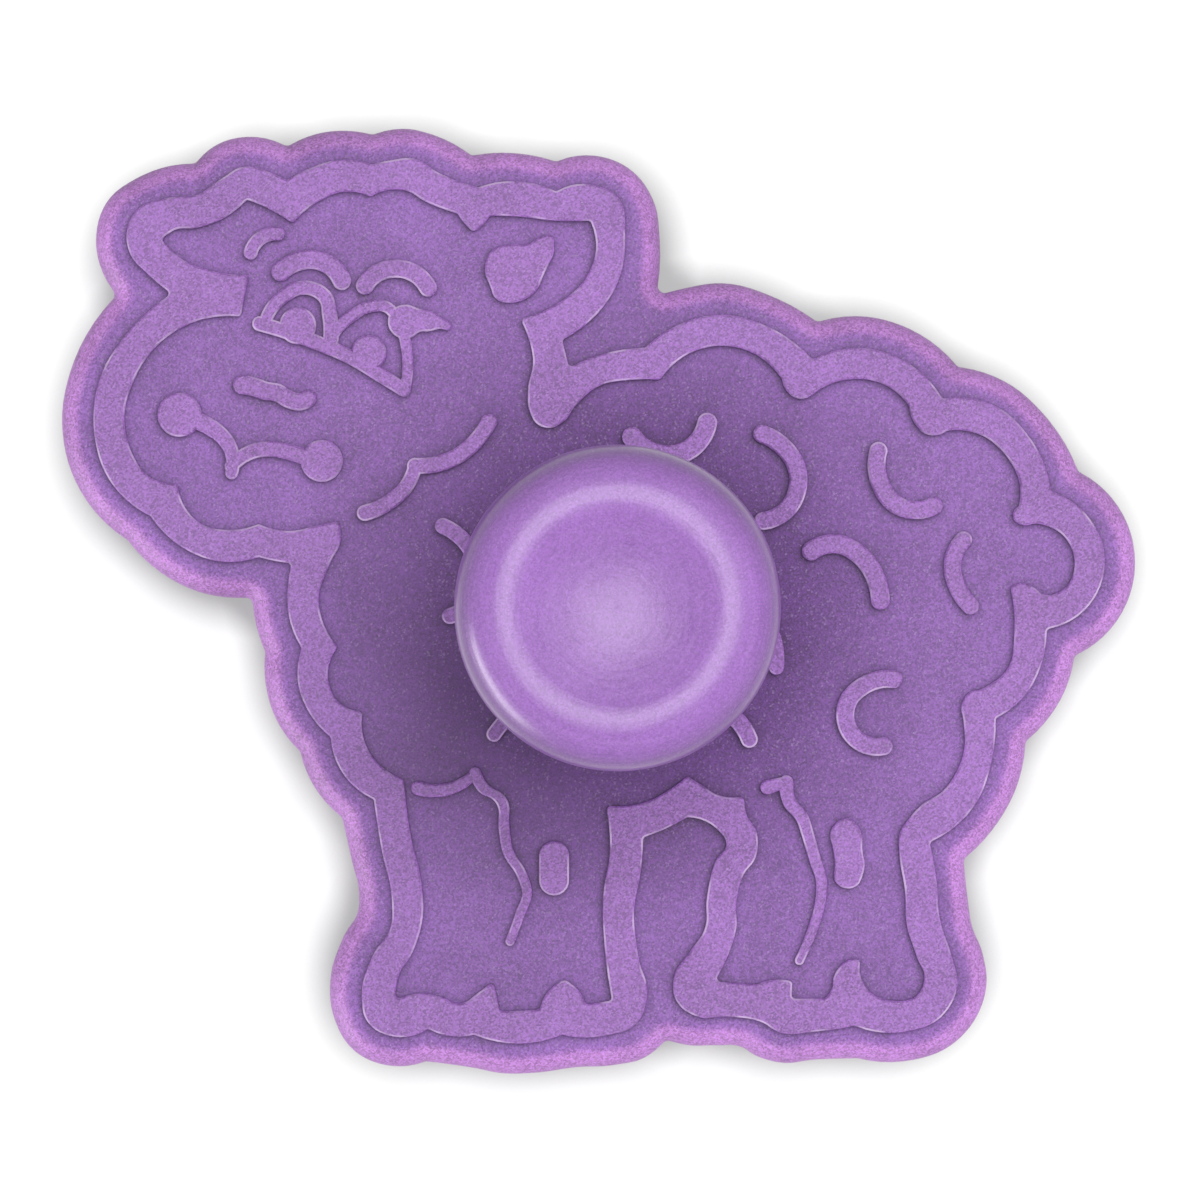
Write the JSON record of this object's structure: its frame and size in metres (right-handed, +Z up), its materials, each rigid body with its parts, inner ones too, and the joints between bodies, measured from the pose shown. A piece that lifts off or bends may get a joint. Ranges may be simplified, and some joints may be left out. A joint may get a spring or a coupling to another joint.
{
  "type": "plunger cutter",
  "caption": "Spring plunger cutter for rolled dough, shaped as a standing sheep, with a raised line drawing on its plate and a dished press knob.",
  "frame": {"origin": "middle of the figure's box in plan, on the cutting edge", "axes": "+Z up out of the knob, +X from the sheep's muzzle to its tail, +Y from its feet to its head"},
  "size_m": [0.06, 0.0528, 0.0438],
  "materials": {
    "shell_plastic": "fine grained satin moulding, violet",
    "stamp_plastic": "fine grained satin moulding, violet",
    "stem_plastic": "smooth satin moulding, violet",
    "knob_plastic": "smooth satin moulding, violet",
    "spring_steel": "drawn wire, bright"
  },
  "bodies": {
    "cutter": {"cutter_shell": "shell_plastic", "return_spring": "spring_steel"},
    "plunger": {"stamp_plate": "stamp_plastic", "plunger_stem": "stem_plastic", "plunger_knob": "knob_plastic"}
  },
  "joints": [
    {"name": "plunger_slide", "type": "slide", "parent": "cutter", "child": "plunger", "axis": [0, 0, -1], "range_m": [0, 0.0095], "stiffness_N_per_m": 1137, "springref_m": -0.002, "deforming": ["return_spring"]}
  ]
}
